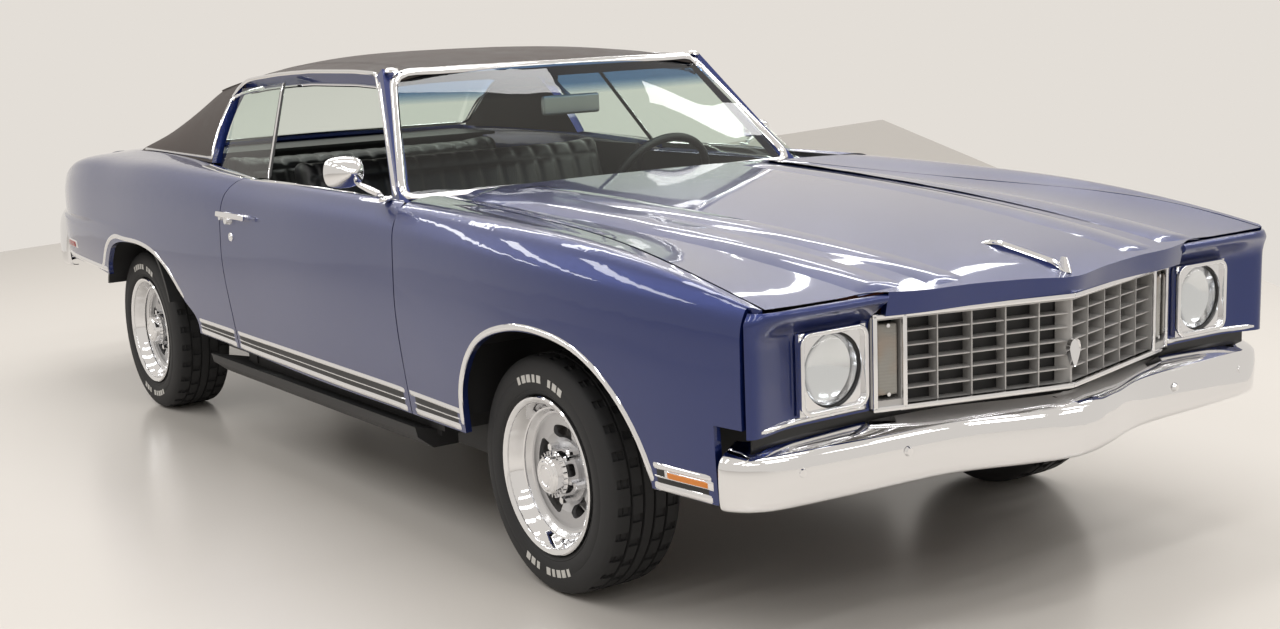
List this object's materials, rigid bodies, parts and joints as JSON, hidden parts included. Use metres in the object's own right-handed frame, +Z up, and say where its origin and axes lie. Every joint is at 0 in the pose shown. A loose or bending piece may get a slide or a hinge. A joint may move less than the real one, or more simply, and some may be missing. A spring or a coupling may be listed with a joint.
{
  "type": "two-door hardtop muscle car",
  "caption": "Large two-door hardtop coupe with a long hood, egg-crate grille, vinyl roof, opening doors and lids, steering and rolling wheels.",
  "frame": {"origin": "on the ground, under the middle of the length and width", "axes": "+Z up; the car faces -Y; +X is its left, the driver's side"},
  "size_m": [2.02, 5.239, 1.3451],
  "materials": {
    "paint": "metallic gloss",
    "vinyl_roof": "grained",
    "glass": "clear tint",
    "lamp_glass": "clear",
    "tail_lens": "gloss",
    "bright": "polished",
    "underbody_paint": "satin black",
    "frame_paint": "satin black",
    "hub_steel": "machined",
    "engine_iron": "painted",
    "radiator_metal": "matt black",
    "tank_steel": "dull",
    "black_trim": "soft sheen",
    "black_plastic": "gloss",
    "tyre_rubber": "matt",
    "wheel_silver": "silver with polished ring"
  },
  "bodies": {
    "car_body": {"front_fenders": "paint", "quarter_panels": "paint", "roof": "vinyl_roof", "windshield": "glass", "rear_window": "glass", "quarter_glass": "glass", "front_caps": "paint", "headlamp_bezels": "bright", "grille": "bright", "front_lamps": "lamp_glass", "front_bumper": "bright", "rear_bumper": "bright", "rear_panels": "paint", "tail_lamps": "tail_lens", "chassis": "frame_paint", "underbody": "underbody_paint", "inner_fenders": "underbody_paint", "front_bench": "black_trim", "rear_bench": "black_trim", "dashboard": "black_trim", "interior_mirror": "black_plastic", "front_suspension": "frame_paint", "rear_axle": "frame_paint", "driveshaft": "frame_paint", "engine": "engine_iron", "radiator": "radiator_metal", "fuel_tank": "tank_steel", "exhaust": "tank_steel"},
    "left_door": {"door_left": "paint", "door_glass_left": "glass", "door_mirror_left": "bright"},
    "right_door": {"door_right": "paint", "door_mirror_right": "bright"},
    "hood_lid": {"hood": "paint"},
    "deck_lid": {"trunk_lid": "paint"},
    "left_knuckle": {"knuckle_left": "hub_steel"},
    "right_knuckle": {"knuckle_right": "hub_steel"},
    "steering": {"steering_wheel": "black_plastic"},
    "road_wheel_front_left": {"tyre_front_left": "tyre_rubber", "wheel_front_left": "wheel_silver"},
    "road_wheel_front_right": {"tyre_front_right": "tyre_rubber", "wheel_front_right": "wheel_silver"},
    "road_wheel_rear_left": {"tyre_rear_left": "tyre_rubber", "wheel_rear_left": "wheel_silver"},
    "road_wheel_rear_right": {"tyre_rear_right": "tyre_rubber", "wheel_rear_right": "wheel_silver"}
  },
  "joints": [
    {"name": "left_door_hinge", "type": "hinge", "parent": "car_body", "child": "left_door", "pos_m": [0.925, -0.9185, 0.65], "axis": [0, 0, 1], "range_deg": [-67, 0]},
    {"name": "right_door_hinge", "type": "hinge", "parent": "car_body", "child": "right_door", "pos_m": [-0.925, -0.9185, 0.65], "axis": [0, 0, 1], "range_deg": [0, 67]},
    {"name": "hood_hinge", "type": "hinge", "parent": "car_body", "child": "hood_lid", "pos_m": [0, -0.7645, 0.93], "axis": [1, 0, 0], "range_deg": [-52, 0]},
    {"name": "trunk_hinge", "type": "hinge", "parent": "car_body", "child": "deck_lid", "pos_m": [0, 1.3875, 0.93], "axis": [1, 0, 0], "range_deg": [0, 74]},
    {"name": "left_kingpin", "type": "hinge", "parent": "car_body", "child": "left_knuckle", "pos_m": [0.716, -1.6325, 0.309], "axis": [0, 0, 1], "range_deg": [-33, 33]},
    {"name": "right_kingpin", "type": "hinge", "parent": "car_body", "child": "right_knuckle", "pos_m": [-0.716, -1.6325, 0.309], "axis": [0, 0, 1], "range_deg": [-33, 33]},
    {"name": "steering_spin", "type": "hinge", "parent": "car_body", "child": "steering", "pos_m": [0.37, -0.43241, 0.8642], "axis": [0, 0.8773, 0.48], "range_deg": [-409.2, 409.2]},
    {"name": "front_left_roll", "type": "hinge", "parent": "left_knuckle", "child": "road_wheel_front_left", "pos_m": [0.766, -1.6325, 0.309], "axis": [1, 0, 0], "continuous": true},
    {"name": "front_right_roll", "type": "hinge", "parent": "right_knuckle", "child": "road_wheel_front_right", "pos_m": [-0.766, -1.6325, 0.309], "axis": [1, 0, 0], "continuous": true},
    {"name": "rear_left_roll", "type": "hinge", "parent": "car_body", "child": "road_wheel_rear_left", "pos_m": [0.753, 1.3135, 0.309], "axis": [1, 0, 0], "continuous": true},
    {"name": "rear_right_roll", "type": "hinge", "parent": "car_body", "child": "road_wheel_rear_right", "pos_m": [-0.753, 1.3135, 0.309], "axis": [1, 0, 0], "continuous": true}
  ],
  "couplings": [
    {"joint": "right_kingpin", "follows": "left_kingpin", "ratio": 1},
    {"joint": "steering_spin", "follows": "left_kingpin", "ratio": 12.4}
  ]
}
